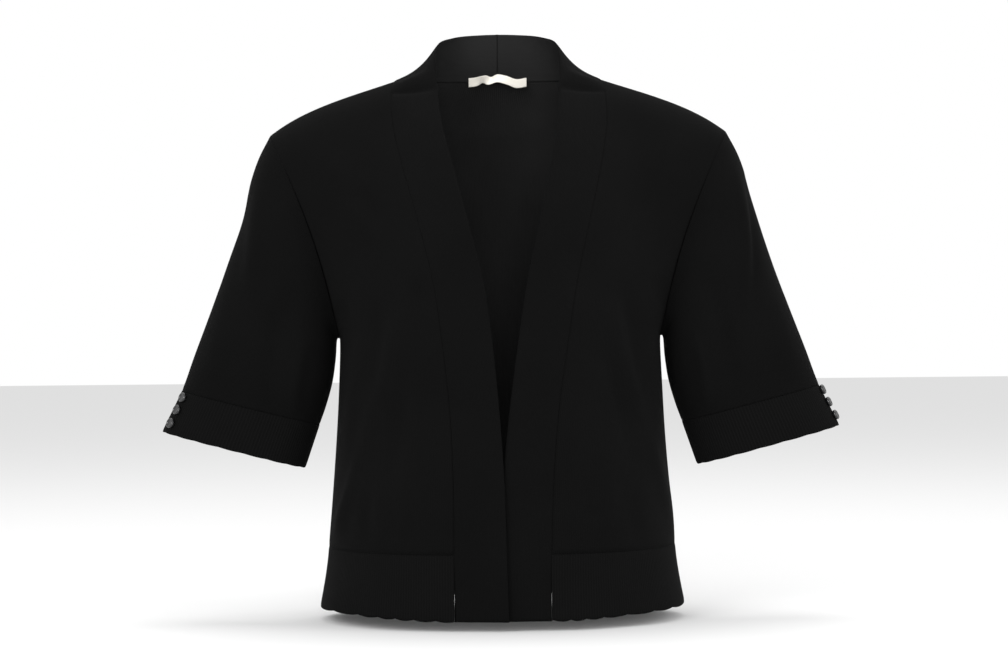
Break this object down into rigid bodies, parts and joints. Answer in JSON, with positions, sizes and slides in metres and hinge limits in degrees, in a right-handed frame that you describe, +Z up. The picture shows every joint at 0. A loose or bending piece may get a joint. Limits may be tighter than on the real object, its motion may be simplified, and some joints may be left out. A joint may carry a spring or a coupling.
{
  "type": "cropped open cardigan",
  "caption": "Short black fine-knit cardigan, open down the front, with a wide band that stands as a collar, elbow-length sleeves, buttoned cuffs and a ribbed hem.",
  "frame": {"origin": "midway between the two neck points of the shoulder seams, where the wearer's shoulders carry the garment", "axes": "+Z up, the front faces -Y, +X to the wearer's left"},
  "size_m": [0.6334, 0.2425, 0.5467],
  "materials": {
    "knit": "matt fine-gauge jersey knit",
    "rib": "matt knitted band with fine ribs",
    "band": "matt knitted band, doubled",
    "label": "woven ribbon, slightly glossy",
    "button": "polished black"
  },
  "bodies": {
    "root": {"back": "knit", "hem_rib_back": "rib", "neck_label": "label", "front_left": "knit", "hem_rib_front_left": "rib", "front_band_left": "band", "sleeve_left": "knit", "cuff_left": "rib", "front_right": "knit", "hem_rib_front_right": "rib", "front_band_right": "band", "sleeve_right": "knit", "cuff_right": "rib", "button_left_1": "button", "button_left_2": "button", "button_left_3": "button", "button_right_1": "button", "button_right_2": "button", "button_right_3": "button"}
  },
  "joints": []
}
